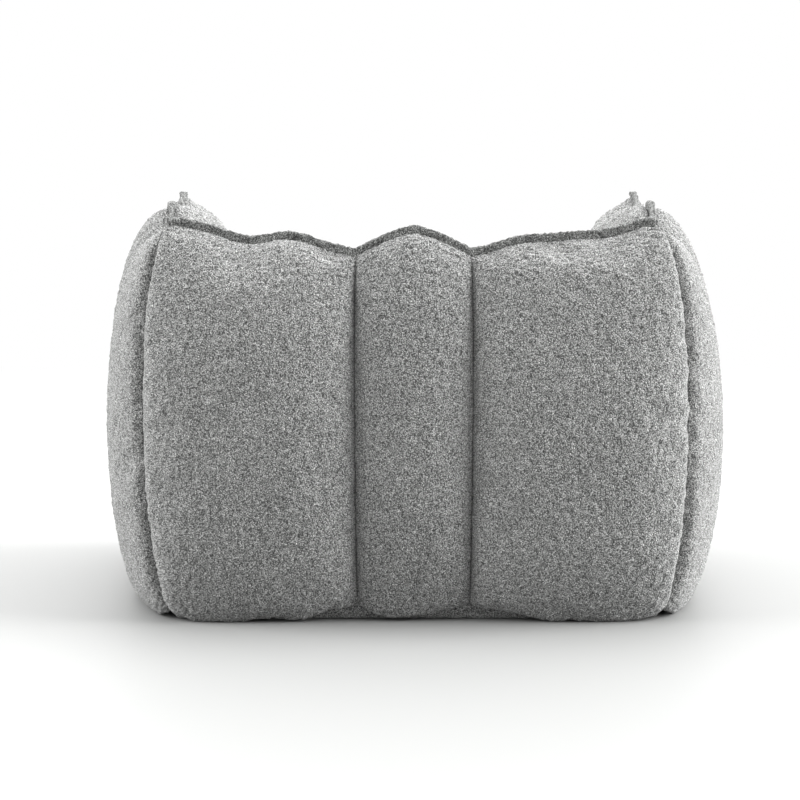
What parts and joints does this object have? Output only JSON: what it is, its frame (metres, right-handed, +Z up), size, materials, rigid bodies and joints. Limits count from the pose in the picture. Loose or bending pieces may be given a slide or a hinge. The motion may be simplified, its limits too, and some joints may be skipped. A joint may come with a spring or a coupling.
{
  "type": "bean bag chair",
  "caption": "Low bean bag armchair: a boucle cover of bulging gores with a scalloped self-welt rim, stuffed inner liners, internal dividing walls and a zip underneath.",
  "frame": {"origin": "centre of the bounding box's bottom face, on the floor under the chair's middle", "axes": "+Z up; the sitter faces -Y, so the backrest is at +Y and the zip is under the rear; +X is towards the sitter's left arm, and node names use the sitter's left and right"},
  "size_m": [1.041, 0.9001, 0.66],
  "materials": {
    "boucle": "looped heather grey yarn, matt",
    "liner_cloth": "plain non-woven cloth, matt",
    "shredded_foam": "compressed shredded foam, matt",
    "zip_tape": "woven polyester tape",
    "zip_nylon": "nylon coil, satin",
    "zip_metal": "crimped metal, satin",
    "zip_slider_paint": "die-cast, semi-gloss paint"
  },
  "bodies": {
    "cover": {"outer_back_left": "boucle", "outer_back_centre": "boucle", "outer_back_right": "boucle", "outer_arm_left_rear": "boucle", "outer_arm_left_mid": "boucle", "outer_arm_left_front": "boucle", "outer_arm_right_rear": "boucle", "outer_arm_right_mid": "boucle", "outer_arm_right_front": "boucle", "arm_front_left": "boucle", "arm_front_right": "boucle", "inner_back_left": "boucle", "inner_back_centre": "boucle", "inner_back_right": "boucle", "inner_arm_left_rear": "boucle", "inner_arm_left_mid": "boucle", "inner_arm_left_front": "boucle", "inner_arm_right_rear": "boucle", "inner_arm_right_mid": "boucle", "inner_arm_right_front": "boucle", "seat_top_left": "boucle", "seat_top_centre": "boucle", "seat_top_right": "boucle", "seat_front_left": "boucle", "seat_front_centre": "boucle", "seat_front_right": "boucle", "base_panel_front": "boucle", "base_panel_rear": "boucle", "back_welt": "boucle", "arm_welt_left": "boucle", "arm_welt_right": "boucle", "seat_welt": "boucle", "zip_tape_front": "zip_tape", "zip_tape_rear": "zip_tape", "zip_coil": "zip_nylon", "zip_end_stops": "zip_metal", "liner_back": "liner_cloth", "liner_arm_left": "liner_cloth", "liner_arm_right": "liner_cloth", "liner_seat": "liner_cloth", "filling_back": "shredded_foam", "filling_arm_left": "shredded_foam", "filling_arm_right": "shredded_foam", "filling_seat": "shredded_foam", "divider_back": "liner_cloth", "divider_left": "liner_cloth", "divider_right": "liner_cloth", "corner_divider_left": "liner_cloth", "corner_divider_right": "liner_cloth"},
    "slider": {"zip_slider": "zip_slider_paint"}
  },
  "joints": [
    {"name": "zip_slide", "type": "slide", "parent": "cover", "child": "slider", "axis": [-1, 0, 0], "range_m": [0, 0.575]}
  ]
}
